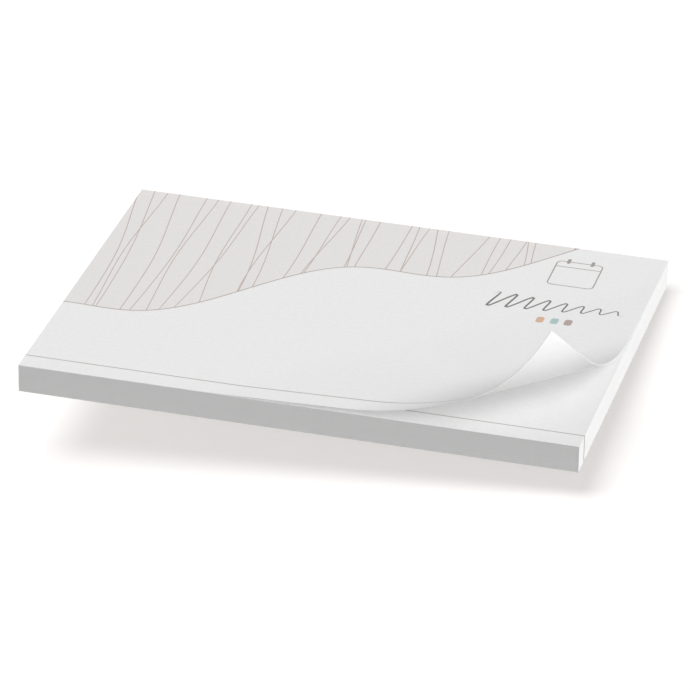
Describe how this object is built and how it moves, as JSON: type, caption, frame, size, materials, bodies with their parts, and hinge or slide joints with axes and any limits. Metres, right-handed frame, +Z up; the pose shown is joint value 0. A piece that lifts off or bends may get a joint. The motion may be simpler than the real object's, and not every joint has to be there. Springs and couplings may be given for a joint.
{
  "type": "sticky note pad",
  "caption": "Landscape block of self-adhesive paper notes, held along its back edge, with the front right corner of the top sheet peeled up and curled back.",
  "frame": {"origin": "middle of the underside, on the surface the pad lies on", "axes": "+X right along the front long edge, +Y towards the back edge that holds the sheets, +Z up"},
  "size_m": [0.1, 0.072, 0.0224],
  "materials": {
    "note_paper": "matte uncoated, lightly printed",
    "adhesive": "dull low-tack coating",
    "liner": "smooth release-coated paper"
  },
  "bodies": {
    "root": {"top_sheet": "note_paper", "sheet_block": "note_paper", "adhesive_strip": "adhesive", "backing_sheet": "liner"}
  },
  "joints": []
}
